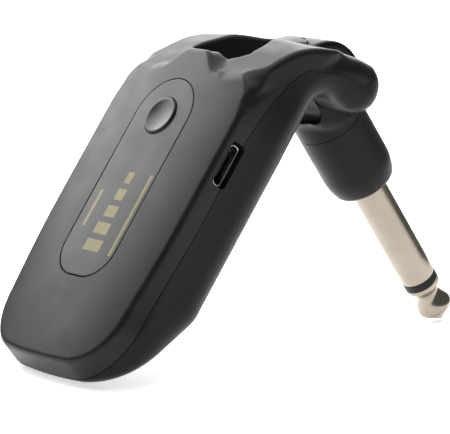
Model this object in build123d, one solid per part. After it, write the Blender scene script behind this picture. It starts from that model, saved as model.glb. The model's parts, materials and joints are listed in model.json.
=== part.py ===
from build123d import *
import math
import os

# Wireless guitar transmitter with a folding 6.35 mm phone plug, modelled in millimetres.
#
# Every piece is drawn in the housing's own frame, with the control face towards -Y, the housing's
# long axis along Z and the fold hinge along X. The finished pieces are then leaned back and set
# down, so that the transmitter stands on the housing's lower end and on the plug's tip.

# ---------------------------------------------------------------- driving dimensions
BODY_HALF_WIDTH = 17.0        # half the housing's width at the middle
NECK_HALF_WIDTH = 15.8        # half the width across the two knuckles
BODY_DEPTH = 16.0             # control face to back
FOOT_Z = -13.5                # lowest point of the lower end
FACE_CROWN_RADIUS = 125.0     # the face is bowed 1.2 mm across its width
FACE_BEND_RADIUS = 700.0      # and curls back a little towards its lower end
FACE_BEND_CORNER = 3.4        # height at which the two tangents of that curl meet
FACE_TOP = 43.3               # where the face meets the banked shoulders
WALL = 1.6                    # moulded wall thickness
SEAM_Y = 5.2                  # parting plane of the front and rear covers

HINGE_Y = 23.3                # fold axis, along X
HINGE_Z = 54.46
KNUCKLE_R = 4.3               # rounded end of each arm
HUB_R = 7.4                   # drum of the plug arm
HUB_CLEARANCE = 0.3           # drum to its pocket, and drum to knuckle
HUB_HALF_WIDTH = 6.2
EAR_INNER = HUB_HALF_WIDTH + HUB_CLEARANCE
UNDERSIDE_Z = 50.6            # underside of the arms

PLUG_DROP = 19.64             # plug axis below the housing's +Y direction, in degrees
FOLD_FLAT = 90.0 - PLUG_DROP  # turn that lays the plug along the back
BARREL_R = 6.3
BARREL_END = 22.85            # distances along the plug axis, from the fold axis
BARREL_TAPER_START = 18.4
BARREL_SEAM = 9.0
PLUG_R = 3.175                # standard 6.35 mm phone plug
PLUG_TIP = 54.8
RING_START = 44.7
RING_END = 46.05

PANEL_HALF_WIDTH = 7.1
PANEL_TOP_CENTRE = 33.35      # the button sits at the same centre
PANEL_BOTTOM = 2.9
PANEL_THICKNESS = 0.7
PANEL_GAP = 0.12
BUTTON_HOLE_R = 3.6
BUTTON_R = 3.45
BUTTON_TRAVEL = 0.35

BOARD_FRONT = 5.8             # printed circuit board, between these two depths
BOARD_THICKNESS = 1.0
BOARD_BACK = BOARD_FRONT + BOARD_THICKNESS

PORT_Z = 28.6                 # micro-USB port on the +X side
PORT_Y = 4.45
PORT_LENGTH = 7.5
PORT_HEIGHT = 2.55

SCREW_PLACES = [(-12.7, 8.0), (12.7, 8.0), (-12.3, 38.6), (12.3, 38.6)]

STANCE_TILT = 35.2            # lean of the housing's long axis from upright, in degrees

EDGE_RADIUS = 3.0             # rounding of the back, the arms and the knuckles
TAB_THICKNESS = 2.6
SLOT_FLOOR = 44.2
CAVITY_TOP = 42.6

ADHESIVE_THICKNESS = 0.15
PLUNGER_TOP = 3.5
PORT_BACK = 11.0              # the port's shell lies between these two places along X
PORT_FACE = 16.1
SCREW_R = 0.75
SCREW_HEAD_R = 1.5
SCREW_SEAT = 14.2             # depth of the screw heads' seats

AXLE_R = 2.2
AXLE_BORE_R = 1.3
AXLE_HALF_LENGTH = 12.6
BUSH_R = 2.9
BUSH_END = 10.6
WASHER_THICKNESS = 0.4
CLIP_R = 3.0
CLIP_START = 11.5
CLIP_THICKNESS = 0.5

FLANGE_R = 4.6                # the plug's flange and nut inside the barrel
FLANGE_END = 19.0
NUT_END = 17.0
SHANK_START = 12.1
SHANK_R = 2.9
SHOULDER_R = 3.5
INSULATOR_R = 1.9
TIP_ROD_R = 1.1

BATTERY_FRONT = 8.3
BATTERY_BACK = 13.3
BATTERY_LOW = 5.5
BATTERY_TOP = 36.4
WIRE_R = 0.35
WIRE_PITCH = 0.75
CHANNEL_R = 1.2

FAR = 80.0                    # longer than any piece


# ---------------------------------------------------------------- drawing helpers
def side_outline(points, radii):
    """A closed outline in the housing's side view, from (y, z) corners and their radii."""
    corners = [(0, y, z) for y, z in points]
    return make_face(FilletPolyline(*corners, radius=radii, close=True))


def front_outline(points, radii):
    """A closed outline in the housing's front view, from (x, z) corners and their radii."""
    corners = [(x, 0, z) for x, z in points]
    return make_face(FilletPolyline(*corners, radius=radii, close=True))


def across(face, half_width):
    """Extrude a side outline evenly to both sides of the middle plane."""
    return extrude(Pos(-half_width, 0, 0) * face, amount=2 * half_width, dir=(1, 0, 0))


def through(face, start, end):
    """Extrude a front outline from one depth to another."""
    return extrude(Pos(0, start, 0) * face, amount=end - start, dir=(0, 1, 0))


def block(x_range, y_range, z_range):
    """A box between three pairs of coordinates."""
    size = [high - low for low, high in (x_range, y_range, z_range)]
    middle = [(high + low) / 2 for low, high in (x_range, y_range, z_range)]
    return Pos(*middle) * Box(*size)


def rod(start, end, radius):
    """A round rod between two points."""
    start, end = Vector(*start), Vector(*end)
    plane = Plane(origin=start, z_dir=end - start)
    return extrude(plane * Circle(radius), amount=(end - start).length)


def tube(start, end, outer, inner):
    """A round tube between two points."""
    return rod(start, end, outer) - rod(start, end, inner)


def mirrored(part):
    """The part together with its mirror image in the middle plane."""
    return part + mirror(part, Plane.YZ)


def wire_run(points, radius, bend):
    """An insulated wire along straight runs joined by arcs."""
    path = FilletPolyline(*points, radius=bend)
    return sweep(Plane(origin=path @ 0, z_dir=path % 0) * Circle(radius), path)


PLUG_DIRECTION = (0, math.cos(math.radians(PLUG_DROP)), -math.sin(math.radians(PLUG_DROP)))
PLUG_PLANE = Plane(origin=(0, HINGE_Y, HINGE_Z), x_dir=(-1, 0, 0), z_dir=PLUG_DIRECTION)


def turned(profile):
    """Revolve (radius, distance along the plug axis) corners round the plug axis."""
    corners = [(radius, 0, distance) for radius, distance in profile]
    return PLUG_PLANE.location * revolve(make_face(Polyline(*corners, close=True)), Axis.Z)


def plug_block(x_range, rise_range, distance_range):
    """A box in the plug's own frame: across, away from the housing, along the plug."""
    return PLUG_PLANE.location * block(x_range, rise_range, distance_range)


# ---------------------------------------------------------------- housing, outer form
def housing_profile():
    """Side view of the housing and its arms."""
    slope = math.tan(math.radians(14.9))
    knuckle_end = HINGE_Y + KNUCKLE_R
    corners = [
        (1.2, FACE_TOP),
        (8.9, 55.15),
        (knuckle_end, 58.96 + slope * KNUCKLE_R),
        (knuckle_end, UNDERSIDE_Z - 0.2),
        (BODY_DEPTH, UNDERSIDE_Z),
        (BODY_DEPTH, 4.5),
        (6.3, FOOT_Z),
        (0.6, FOOT_Z + 1.8),
        (0.0, FACE_BEND_CORNER),
        (0.0, FACE_TOP),
    ]
    end_radius = KNUCKLE_R - 0.15
    radii = [0, 15.0, end_radius, end_radius, 4.5, 12.0, 2.6, 0, FACE_BEND_RADIUS, 0]
    return side_outline(corners, radii)


def front_form():
    """Front view of the housing: a broad rounded lower end and sides that taper upwards."""
    low = BODY_HALF_WIDTH
    corners = [(NECK_HALF_WIDTH, 66.0), (-NECK_HALF_WIDTH, 66.0), (-low, FOOT_Z + 1.0),
               (0, FOOT_Z - 0.4), (low, FOOT_Z + 1.0)]
    return front_outline(corners, [0, 0, 9.0, 60.0, 9.0])


def face_crown(depth):
    """Everything behind the bowed control face, brought back by the given depth."""
    return rod((0, FACE_CROWN_RADIUS, -FAR), (0, FACE_CROWN_RADIUS, FAR), FACE_CROWN_RADIUS - depth)


def is_rounded_edge(edge):
    """True for the long edges of the back, the arch, the arms and the knuckles."""
    centre = edge.center()
    on_side = abs(centre.X) > 6.5 and centre.Y > 3.0
    on_top_front = centre.Y < 8.0 and centre.Z > 30.0
    on_foot = edge.length < 4.5 and centre.Y < 6.8 and centre.Z < -11.0
    runs_back = abs(edge.tangent_at(0.5).Y) > 0.99
    return on_side and not (on_top_front or on_foot or runs_back)


def arms_and_body():
    """The outer form of the body and its two arms, with its long edges rounded."""
    form = across(housing_profile(), 20) & through(front_form(), -5, 40)
    form = fillet([edge for edge in form.edges() if is_rounded_edge(edge)], EDGE_RADIUS)
    return form & face_crown(0)


def strip_solid():
    """The raised strip that bridges the two arms and meets the plug arm's drum."""
    corners = [(6.6, 50.9), (15.2, 58.2), (22.4, 62.2), (HINGE_Y, 62.2), (HINGE_Y, 52.0), (9.0, 50.0)]
    return across(side_outline(corners, [0, 30.0, 0, 0, 0, 0]), EAR_INNER)


def tab_solid():
    """The tongue of the face that rises in front of the strap slot."""
    corners = [(-7.2, FACE_TOP - 1.0), (7.2, FACE_TOP - 1.0), (6.2, FACE_TOP + 0.3),
               (3.2, FACE_TOP + 3.6), (-3.2, FACE_TOP + 3.6), (-6.2, FACE_TOP + 0.3)]
    return through(front_outline(corners, [0, 0, 0, 1.6, 1.6, 0]), 0, TAB_THICKNESS) & face_crown(0)


def slot_cutter():
    """The strap slot: an eye shape between the arms that narrows to a point behind."""
    front = TAB_THICKNESS
    corners = [(-6.6, front, 0), (6.6, front, 0), (7.0, 5.6, 0), (0, 12.8, 0), (-7.0, 5.6, 0)]
    face = make_face(FilletPolyline(*corners, radius=[1.4, 1.4, 2.0, 0.8, 2.0], close=True))
    return extrude(Pos(0, 0, SLOT_FLOOR) * face, amount=30, dir=(0, 0, 1))


def drum_pocket():
    """Room for the plug arm's drum between the two knuckles."""
    middle = (HINGE_Y, HINGE_Z)
    width = (-EAR_INNER, EAR_INNER)
    drum = rod((-EAR_INNER, *middle), (EAR_INNER, *middle), HUB_R + HUB_CLEARANCE)
    fold_recess = block(width, (BODY_DEPTH + 0.3, 40), (40, UNDERSIDE_Z + 0.5))
    return drum + fold_recess + block(width, (HINGE_Y - 1.5, 40), (40, 70))


def outer_form():
    """The housing's outer form, still solid and undivided."""
    form = arms_and_body() + strip_solid() + tab_solid()
    return form - slot_cutter() - drum_pocket()


def front_region():
    """Everything in front of the parting line, which runs up the side and through the hinge."""
    corners = [(-9, -30), (4.9, -30), (4.9, -5.0), (SEAM_Y, 8.0), (SEAM_Y, 36.0), (9.9, 51.0),
               (18.5, 54.2), (HINGE_Y, HINGE_Z), (24.6, 56.2), (24.6, 70), (-9, 70)]
    return across(side_outline(corners, [0, 0, 40.0, 40.0, 25.0, 4.0, 8.0, 0, 1.0, 0, 0]), 30)


# ---------------------------------------------------------------- housing, inner form
def body_cavity():
    """The space inside the body for the board, the battery and the switch."""
    back = BODY_DEPTH - WALL
    front = WALL + 0.15
    side = side_outline(
        [(front, CAVITY_TOP), (back, CAVITY_TOP), (back, 4.9), (5.4, -11.5), (4.4, -11.5), (front, 1.0)],
        [0, 1.5, 8.0, 0.5, 0.4, 60.0],
    )
    outline = front_outline(
        [(14.6, CAVITY_TOP), (-14.6, CAVITY_TOP), (-15.35, -10.0), (0, -11.6), (15.35, -10.0)],
        [1.0, 1.0, 7.5, 50.0, 7.5],
    )
    return across(side, 20) & through(outline, -5, 40) & face_crown(WALL + 0.15)


def knuckle_bores():
    """Seats for the bushes, washers and clips, and the wire space at the ends of the axle."""
    middle = (HINGE_Y, HINGE_Z)
    bush_seat = rod((EAR_INNER - 1, *middle), (BUSH_END, *middle), BUSH_R)
    washer_seat = rod((BUSH_END - 0.01, *middle), (AXLE_HALF_LENGTH + 0.3, *middle), CLIP_R + 0.3)
    end_space = rod((AXLE_HALF_LENGTH, *middle), (AXLE_HALF_LENGTH + 1.4, *middle), 2.2)
    return mirrored(bush_seat + washer_seat + end_space)


def wire_route(lane):
    """The route of one of the two wires, up the +X arm and into the hollow axle.

    The second lane runs beside the first, one pitch nearer the middle.
    """
    x = -lane * WIRE_PITCH
    y = (0.5 - lane) * WIRE_PITCH
    return [
        (9.6 + x, BOARD_BACK, 38.0),
        (9.6 + x, 9.4, 38.4),
        (11.0 + x, 10.8, 44.5),
        (13.5 + x, 12.6, 50.8),
        (13.95 + x, 17.0, 53.6),
        (13.95 + x, HINGE_Y + y, HINGE_Z),
        (9.0, HINGE_Y + y, HINGE_Z),
    ]


def wire_channel():
    """The channel that takes the two wires from the body up the +X arm to the axle."""
    shift = Vector(-WIRE_PITCH / 2, 0, 0)
    places = [Vector(*place) + shift for place in wire_route(0)[1:6]]
    channel = Pos(places[0]) * Sphere(CHANNEL_R)
    for start, end in zip(places, places[1:]):
        channel += rod(tuple(start), tuple(end), CHANNEL_R)
        channel += Pos(end) * Sphere(CHANNEL_R)
    return channel


def port_opening():
    """The pocket in the +X side that the charging port looks out of."""
    size = Box(6.0, PORT_HEIGHT + 0.5, PORT_LENGTH + 0.5)
    return Pos(16.2, PORT_Y, PORT_Z) * fillet(size.edges().filter_by(Axis.X), 0.9)


def panel_outline(gap):
    """The oblong of the control panel, its top end a half circle round the button."""
    half = PANEL_HALF_WIDTH + gap
    top = PANEL_TOP_CENTRE + half
    corners = [(-half, PANEL_BOTTOM - gap), (half, PANEL_BOTTOM - gap), (half, top), (-half, top)]
    return front_outline(corners, [5.6, 5.6, half - 0.01, half - 0.01])


def under_face(outline, start, end):
    """The layer between two depths below the face, within an outline."""
    face_form = across(housing_profile(), 20) & face_crown(0)
    return (through(outline, -2, 4) & Pos(0, start, 0) * face_form) - Pos(0, end, 0) * face_form


def screw_post(x, z, start, end, radius):
    """A round post or hole along Y at one of the case screws."""
    return rod((x, start, z), (x, end, z), radius)


# ---------------------------------------------------------------- housing pieces
def front_cover(form, cavity):
    """Face, side band, arm tops and bridging strip, with posts that take the case screws."""
    cover = form & front_region()
    posts = Part() + [screw_post(x, z, 0.8, BOARD_FRONT, 2.0) for x, z in SCREW_PLACES]
    cover = cover - cavity + (posts & form)
    for x, z in SCREW_PLACES:
        cover -= screw_post(x, z, 2.6, BOARD_FRONT + 1, SCREW_R)
    cover -= under_face(panel_outline(PANEL_GAP), -1, PANEL_THICKNESS + ADHESIVE_THICKNESS)
    cover -= screw_post(0, PANEL_TOP_CENTRE, -1, 4, BUTTON_HOLE_R)
    return cover - knuckle_bores() - wire_channel() - port_opening()


def rear_cover(form, cavity):
    """Back, underside and knuckle ends, with the posts that hold the board down."""
    cover = form - front_region()
    posts = Part() + [screw_post(x, z, BOARD_BACK, BODY_DEPTH - 1, 2.2) for x, z in SCREW_PLACES]
    cover = cover - cavity + posts
    for x, z in SCREW_PLACES:
        cover -= screw_post(x, z, 0, BODY_DEPTH + 1, SCREW_R + 0.2)
        cover -= screw_post(x, z, SCREW_SEAT, BODY_DEPTH + 1, SCREW_HEAD_R + 0.2)
    return cover - knuckle_bores() - wire_channel() - port_opening()


def control_panel():
    """The flush oblong panel, pierced for the button."""
    return under_face(panel_outline(0), 0, PANEL_THICKNESS) - button_hole()


def panel_adhesive():
    """The sheet of adhesive that holds the control panel down."""
    depth = PANEL_THICKNESS + ADHESIVE_THICKNESS
    return under_face(panel_outline(-0.6), PANEL_THICKNESS, depth) - button_hole()


def button_hole():
    """The hole through the panel and the face for the button."""
    return screw_post(0, PANEL_TOP_CENTRE, -2, 5, BUTTON_HOLE_R)


def power_button():
    """A dished round button with a flange that keeps it in, and a stem on the switch."""
    x, z = 0, PANEL_TOP_CENTRE
    dish_radius = 16.0
    cap = fillet(screw_post(x, z, 0.05, 2.0, BUTTON_R).edges().filter_by(GeomType.CIRCLE), 0.3)
    cap -= Pos(x, 0.45 - dish_radius, z) * Sphere(dish_radius)
    flange = screw_post(x, z, 1.95, 2.5, 4.3)
    return cap + flange + screw_post(x, z, 2.4, PLUNGER_TOP, 1.2)


def switch_plunger():
    """The push switch's own plunger, which the button's stem rests on."""
    return screw_post(0, PANEL_TOP_CENTRE, PLUNGER_TOP, 4.6, 0.95)


def button_switch():
    """The body of the push switch on the board."""
    body = block((-2.3, 2.3), (4.0, BOARD_FRONT), (PANEL_TOP_CENTRE - 2.3, PANEL_TOP_CENTRE + 2.3))
    body = chamfer(body.edges().filter_by(Axis.Y), 0.4)
    body -= screw_post(0, PANEL_TOP_CENTRE, 3, 5.1, 1.1)
    return body - screw_post(0, PANEL_TOP_CENTRE, 5.0, 5.4, 1.8)


def switch_dome():
    """The snap dome under the plunger."""
    return screw_post(0, PANEL_TOP_CENTRE, 5.15, 5.3, 1.7)


# ---------------------------------------------------------------- board and what is on it
def main_board():
    """The printed circuit board, with holes for the case screws."""
    corners = [(14.2, 41.0), (-14.2, 41.0), (-14.2, -8.0), (14.2, -8.0)]
    board = through(front_outline(corners, [2.5, 2.5, 7.5, 7.5]), BOARD_FRONT, BOARD_BACK)
    for x, z in SCREW_PLACES:
        board -= screw_post(x, z, 0, 10, SCREW_R + 0.25)
    return board


def on_board(x_range, z_range, height):
    """A chip or similar block on the front of the board."""
    return block(x_range, (BOARD_FRONT - height, BOARD_FRONT), z_range)


def usb_port_shell():
    """The folded metal shell of the micro-USB port, wider towards the back."""
    def section(inset):
        half_y = PORT_HEIGHT / 2 - inset
        half_z = PORT_LENGTH / 2 - inset
        corners = [(0, half_y, -half_z), (0, half_y, half_z), (0, -half_y * 0.2, half_z),
                   (0, -half_y, half_z - 1.1), (0, -half_y, 1.1 - half_z), (0, -half_y * 0.2, -half_z)]
        return make_face(FilletPolyline(*corners, radius=0.35, close=True))

    outer = extrude(Pos(PORT_BACK, 0, 0) * section(0), amount=PORT_FACE - PORT_BACK, dir=(1, 0, 0))
    inner = extrude(Pos(PORT_BACK + 0.4, 0, 0) * section(0.3), amount=10, dir=(1, 0, 0))
    return Pos(0, PORT_Y, PORT_Z) * (outer - inner)


def usb_port_tongue():
    """The plastic tongue in the middle of the port."""
    low_y = PORT_Y - 0.15
    return block((PORT_BACK + 0.4, PORT_FACE - 0.9), (low_y, low_y + 0.65), (PORT_Z - 2.0, PORT_Z + 2.0))


def usb_port_contacts():
    """Five contact strips on the front of the tongue."""
    top = PORT_Y - 0.15
    pitch = 0.65
    strips = [
        block((PORT_BACK + 0.6, PORT_FACE - 1.1), (top - 0.08, top), (z - 0.16, z + 0.16))
        for z in (PORT_Z + pitch * step for step in range(-2, 3))
    ]
    return Compound(children=[strip.solid() for strip in strips])


def rf_shield():
    """The folded shield over the radio chip."""
    can = on_board((-7.5, 6.5), (-4.0, 9.0), 1.9)
    can = fillet(can.edges().filter_by(Axis.Y), 0.8)
    return can - on_board((-7.25, 6.25), (-3.75, 8.75), 1.65)


def antenna():
    """The ceramic chip antenna with its two end caps, at the board's lower edge."""
    return fillet(on_board((-4.5, 4.5), (-7.4, -5.6), 1.2).edges().filter_by(Axis.Y), 0.25)


def chip_capacitors():
    """Small chip capacitors in two rows."""
    places = [(-9.5 + 1.9 * column, 12.5 + 2.4 * row) for row in range(3) for column in range(2)]
    return Compound(children=[
        on_board((x, x + 1.2), (z, z + 0.7), 0.6).solid() for x, z in places
    ])


def clock_crystal():
    """The quartz crystal in its oval can."""
    outline = front_outline([(8.0, 2.0), (11.2, 2.0), (11.2, 4.5), (8.0, 4.5)], 1.1)
    return through(outline, BOARD_FRONT - 1.0, BOARD_FRONT)


def power_inductor():
    """The charging circuit's coil in its square ferrite block."""
    coil = on_board((5.0, 9.0), (21.0, 25.0), 1.8)
    return chamfer(coil.edges().filter_by(Axis.Y), 0.7)


# ---------------------------------------------------------------- battery and wires
def battery():
    """The flat lithium cell behind the board."""
    cell = block((-10.2, 10.2), (BATTERY_FRONT, BATTERY_BACK), (BATTERY_LOW, BATTERY_TOP))
    return fillet(cell.edges().filter_by(Axis.Z), 1.8)


def battery_pad():
    """The foam pad that holds the cell to the back."""
    return block((-8.0, 8.0), (BATTERY_BACK, BODY_DEPTH - WALL), (BATTERY_LOW + 3, BATTERY_TOP - 3))


def battery_wire(x):
    """A lead from the top of the cell forward to the board."""
    middle = (BATTERY_FRONT + BATTERY_BACK) / 2
    route = [(x, middle, BATTERY_TOP), (x, middle, 39.6), (x, BOARD_BACK, 39.6)]
    return wire_run(route, WIRE_R, 1.4)


def housing_wire(lane):
    """One of the two wires from the board to the middle of the hinge."""
    return wire_run(wire_route(lane), WIRE_R, [0.9, 3.0, 3.0, 3.0, 0.8])


def case_screws():
    """Four small pan-head screws from the back into the front cover's posts."""
    screws = []
    for x, z in SCREW_PLACES:
        head = screw_post(x, z, SCREW_SEAT, SCREW_SEAT + 1.1, SCREW_HEAD_R)
        head = fillet(head.edges().sort_by(Axis.Y)[-1], 0.5)
        slot = Box(2.0, 0.9, 0.45) + Box(0.45, 0.9, 2.0)
        head -= Pos(x, SCREW_SEAT + 1.1, z) * slot
        screws.append((head + screw_post(x, z, 3.0, SCREW_SEAT, SCREW_R)).solid())
    return Compound(children=screws)


# ---------------------------------------------------------------- hinge
def hinge_tubes(start, end, outer, inner):
    """The same ring on the axle at both sides of the drum, as two separate solids."""
    ring = tube((start, HINGE_Y, HINGE_Z), (end, HINGE_Y, HINGE_Z), outer, inner)
    return Compound(children=[ring.solid(), mirror(ring, Plane.YZ).solid()])


def hinge_axle():
    """The hollow axle, fixed in the drum, with a window for the wires on the plug's side."""
    half = AXLE_HALF_LENGTH
    axle = tube((-half, HINGE_Y, HINGE_Z), (half, HINGE_Y, HINGE_Z), AXLE_R, AXLE_BORE_R)
    for groove in (-1, 1):
        x = groove * (CLIP_START + CLIP_THICKNESS / 2)
        start, end = x - CLIP_THICKNESS / 2, x + CLIP_THICKNESS / 2
        axle -= tube((start, HINGE_Y, HINGE_Z), (end, HINGE_Y, HINGE_Z), AXLE_R + 1, AXLE_R - 0.3)
    return axle - plug_block((-3.6, -0.8), (-1.0, 1.0), (0.4, 4.0))


# ---------------------------------------------------------------- plug arm
def barrel_form():
    """The barrel's solid outer form: a round barrel that ends in a drum across the fold axis."""
    end_r = 5.0
    profile = Polyline((0, 0, 0), (BARREL_R, 0, 0), (BARREL_R, 0, BARREL_TAPER_START))
    end_arc = TangentArc(profile @ 1, (end_r + 0.25, 0, BARREL_END - 0.4), tangent=(0, 0, 1))
    corner = TangentArc(end_arc @ 1, (end_r - 0.3, 0, BARREL_END), tangent=end_arc % 1)
    close = Polyline(corner @ 1, (0, 0, BARREL_END), (0, 0, 0))
    barrel = PLUG_PLANE.location * revolve(make_face([profile, end_arc, corner, close]), Axis.Z)
    middle = (HINGE_Y, HINGE_Z)
    drum = rod((-HUB_HALF_WIDTH, *middle), (HUB_HALF_WIDTH, *middle), HUB_R)
    drum = fillet(drum.edges().filter_by(GeomType.CIRCLE), 1.2)
    within = plug_block((-HUB_HALF_WIDTH, HUB_HALF_WIDTH), (-20, 20), (-20, 60))
    return (barrel + drum) & within


def barrel_notch():
    """The notch on the housing's side of the drum that lets the arm fold past the arch."""
    corners = [(0, -4.3, -20), (0, -4.3, 5.2), (0, -7.0, 3.9), (0, -20, 3.9), (0, -20, -20)]
    face = make_face(FilletPolyline(*corners, radius=[0, 0.9, 0, 0, 0], close=True))
    solid = extrude(Pos(-20, 0, 0) * face, amount=40, dir=(1, 0, 0))
    return PLUG_PLANE.location * solid


def barrel_cavity():
    """Bores for the axle and the plug, and the space for the lugs and wires."""
    middle = (HINGE_Y, HINGE_Z)
    axle_bore = rod((-20, *middle), (20, *middle), AXLE_R)
    plug_space = turned([(0, BARREL_SEAM + 0.5), (FLANGE_R, BARREL_SEAM + 0.5),
                         (FLANGE_R, FLANGE_END), (0, FLANGE_END)])
    plug_bore = turned([(0, 12), (SHOULDER_R, 12), (SHOULDER_R, 40), (0, 40)])
    return axle_bore + plug_space + plug_bore + plug_block((-3.6, 1.6), (-1.2, 1.2), (0.4, 10.5))


def barrel_cover_region():
    """The half of the drum end on the housing's side, up to the seam across the barrel."""
    return plug_block((-20, 20), (-20, 0), (-20, BARREL_SEAM))


def barrel_shell():
    """The moulded barrel, with the outer half of the drum."""
    return barrel_form() - barrel_notch() - barrel_cavity() - barrel_cover_region()


def barrel_cover():
    """The cap that closes the drum end of the barrel round the axle."""
    return (barrel_form() & barrel_cover_region()) - barrel_notch() - barrel_cavity()


def plug_sleeve():
    """The plug's outer contact with its shoulder, flange and shank, bored for the insulator."""
    outer = turned([(0, SHANK_START), (SHANK_R, SHANK_START), (SHANK_R, NUT_END), (FLANGE_R, NUT_END),
                    (FLANGE_R, FLANGE_END), (SHOULDER_R, FLANGE_END), (SHOULDER_R, BARREL_END),
                    (PLUG_R, BARREL_END), (PLUG_R, RING_START), (0, RING_START)])
    return outer - turned([(0, 0), (INSULATOR_R, 0), (INSULATOR_R, FAR), (0, FAR)])


def plug_nut():
    """The nut that clamps the plug's flange in the barrel."""
    start = SHANK_START + 0.9
    nut = turned([(0, start), (FLANGE_R, start), (FLANGE_R, NUT_END), (0, NUT_END)])
    return nut - turned([(0, 0), (SHANK_R, 0), (SHANK_R, FAR), (0, FAR)])


def plug_insulator():
    """The insulating tube inside the sleeve and the black ring it shows before the tip."""
    outer = turned([(0, SHANK_START), (INSULATOR_R, SHANK_START), (INSULATOR_R, RING_START),
                    (PLUG_R, RING_START), (PLUG_R, RING_END), (0, RING_END)])
    return outer - turned([(0, 0), (TIP_ROD_R, 0), (TIP_ROD_R, FAR), (0, FAR)])


def plug_tip():
    """The tip contact: a collar, a neck and a ball that runs out to a blunt cone, on a long rod."""
    neck_r = 2.15
    ball_r = 3.15
    start = Line((0, 0, SHANK_START - 2.4), (TIP_ROD_R, 0, SHANK_START - 2.4))
    shaft = Line(start @ 1, (TIP_ROD_R, 0, RING_END))
    collar = Polyline(shaft @ 1, (ball_r, 0, RING_END), (ball_r, 0, RING_END + 0.9), (neck_r, 0, 48.2))
    neck = ThreePointArc(collar @ 1, (neck_r - 0.1, 0, 48.9), (neck_r + 0.15, 0, 49.6))
    ball = ThreePointArc(neck @ 1, (ball_r - 0.25, 0, 50.5), (ball_r, 0, 51.5))
    shoulder = ThreePointArc(ball @ 1, (ball_r - 0.05, 0, 51.9), (ball_r - 0.35, 0, 52.3))
    cone = Polyline(shoulder @ 1, (0.8, 0, 54.5), (0.45, 0, PLUG_TIP), (0, 0, PLUG_TIP), start @ 0)
    face = make_face([start, shaft, collar, neck, ball, shoulder, cone])
    return PLUG_PLANE.location * revolve(face, Axis.Z)


def rear_insulator():
    """The washer between the tip's lug and the sleeve's lug."""
    return turned([(TIP_ROD_R, 10.7), (2.4, 10.7), (2.4, 11.7), (TIP_ROD_R, 11.7)])


def tip_lug():
    """The solder lug on the end of the tip's rod."""
    return turned([(TIP_ROD_R, 10.3), (2.0, 10.3), (2.0, 10.7), (TIP_ROD_R, 10.7)])


def ground_lug():
    """The solder lug against the sleeve's shank."""
    return turned([(INSULATOR_R, 11.7), (3.5, 11.7), (3.5, SHANK_START), (INSULATOR_R, SHANK_START)])


def plug_wire(x, rise, end):
    """A wire from inside the hollow axle, round through its window, to a lug."""
    route = [(-8.6, rise, 0), (x, rise, 0), (x, rise, end)]
    return PLUG_PLANE.location * wire_run(route, WIRE_R, 0.9)


# ---------------------------------------------------------------- the whole transmitter
def housing_pieces():
    """The pieces that stay with the housing."""
    form = outer_form()
    cavity = body_cavity()
    washer_end = BUSH_END + WASHER_THICKNESS
    washer_bore = AXLE_R + 0.05
    return {
        "front_cover": front_cover(form, cavity),
        "rear_cover": rear_cover(form, cavity),
        "control_panel": control_panel(),
        "panel_adhesive": panel_adhesive(),
        "main_board": main_board(),
        "button_switch": button_switch(),
        "switch_dome": switch_dome(),
        "status_led": on_board((5.2, 6.8), (35.0, 36.0), 0.8),
        "usb_port_shell": usb_port_shell(),
        "usb_port_tongue": usb_port_tongue(),
        "usb_port_contacts": usb_port_contacts(),
        "rf_shield": rf_shield(),
        "radio_chip": on_board((-4.0, 1.0), (0.0, 5.0), 0.9),
        "antenna": antenna(),
        "charge_chip": on_board((4.5, 8.5), (15.0, 19.0), 0.9),
        "power_inductor": power_inductor(),
        "clock_crystal": clock_crystal(),
        "chip_capacitors": chip_capacitors(),
        "battery": battery(),
        "battery_pad": battery_pad(),
        "battery_wire_red": battery_wire(-6.5),
        "battery_wire_black": battery_wire(-4.5),
        "case_screws": case_screws(),
        "signal_wire": housing_wire(0),
        "ground_wire": housing_wire(1),
        "hinge_bushes": hinge_tubes(EAR_INNER + 0.4, BUSH_END, BUSH_R, AXLE_R + 0.04),
        "friction_washers": hinge_tubes(BUSH_END, washer_end, CLIP_R, washer_bore),
        "wave_washers": hinge_tubes(washer_end, washer_end + WASHER_THICKNESS, CLIP_R - 0.2, washer_bore),
    }


def button_pieces():
    """The pieces that travel with the button."""
    return {"power_button": power_button(), "switch_plunger": switch_plunger()}


def plug_arm_pieces():
    """The pieces that fold with the plug."""
    return {
        "barrel_shell": barrel_shell(),
        "barrel_cover": barrel_cover(),
        "hinge_axle": hinge_axle(),
        "axle_clips": hinge_tubes(CLIP_START, CLIP_START + CLIP_THICKNESS, CLIP_R, AXLE_R - 0.3),
        "plug_sleeve": plug_sleeve(),
        "plug_nut": plug_nut(),
        "plug_insulator": plug_insulator(),
        "plug_tip": plug_tip(),
        "rear_insulator": rear_insulator(),
        "tip_lug": tip_lug(),
        "ground_lug": ground_lug(),
        "plug_signal_wire": plug_wire(-1.5, 0.45, 10.3),
        "plug_ground_wire": plug_wire(-2.9, -0.45, 11.7),
    }


def set_down(pieces):
    """Lean the pieces back from the housing's frame and set them on the ground, centred."""
    leaned = {name: Rot(-STANCE_TILT, 0, 0) * piece for name, piece in pieces.items()}
    extents = [piece.bounding_box() for piece in leaned.values()]
    front = min(extent.min.Y for extent in extents)
    back = max(extent.max.Y for extent in extents)
    floor = min(extent.min.Z for extent in extents)
    return {name: Pos(0, -(front + back) / 2, -floor) * piece for name, piece in leaned.items()}


def write_pieces():
    """Write every piece to its own file."""
    os.makedirs("parts", exist_ok=True)
    pieces = {**housing_pieces(), **button_pieces(), **plug_arm_pieces()}
    for name, piece in set_down(pieces).items():
        export_step(piece, f"parts/{name}.step")


if __name__ == "__main__":
    write_pieces()
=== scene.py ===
import itertools
import json
import math

import bmesh
import bpy
import numpy as np
from mathutils import Matrix, Vector


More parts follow.
